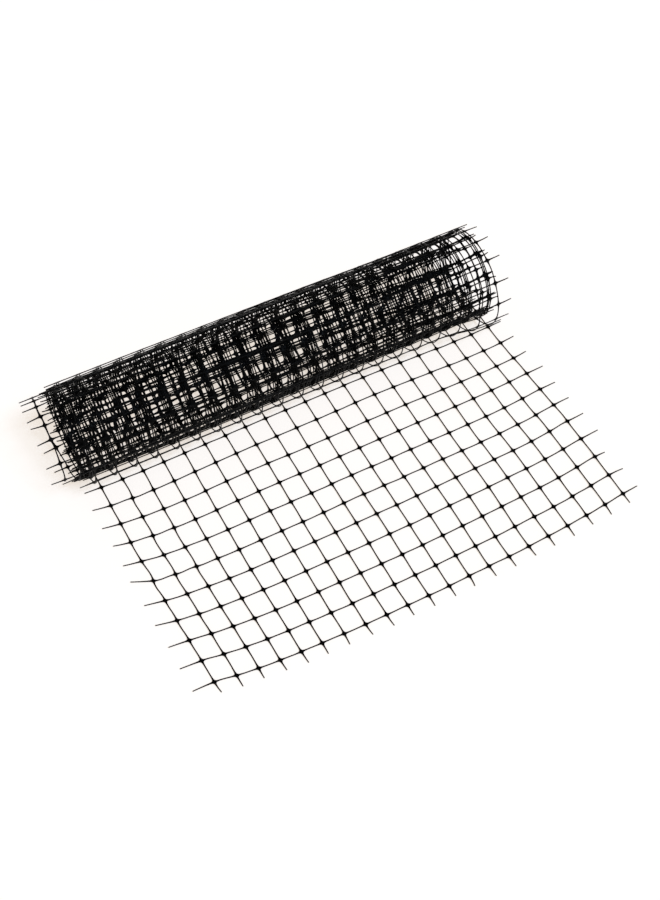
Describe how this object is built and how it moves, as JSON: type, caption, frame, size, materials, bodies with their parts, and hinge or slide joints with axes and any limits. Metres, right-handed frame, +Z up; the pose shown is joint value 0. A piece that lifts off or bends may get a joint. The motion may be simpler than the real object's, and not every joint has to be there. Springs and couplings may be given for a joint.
{
  "type": "roll of deck railing guard netting",
  "caption": "Black square-mesh plastic guard netting for a deck railing, wound into a hollow roll that lies on its side with one end of the net laid out flat.",
  "frame": {"origin": "middle of the whole object's base, on the floor that the net and the roll lie on", "axes": "+X along the roll's axis and across the net, towards the roll's dished end; +Y from the net's free edge towards the roll; +Z up"},
  "size_m": [0.9404, 0.6484, 0.195],
  "materials": {
    "net_plastic": "satin black extruded plastic, a little glossy on the strands' edges"
  },
  "bodies": {
    "root": {"loose_end": "net_plastic", "roll": "net_plastic"}
  },
  "joints": []
}
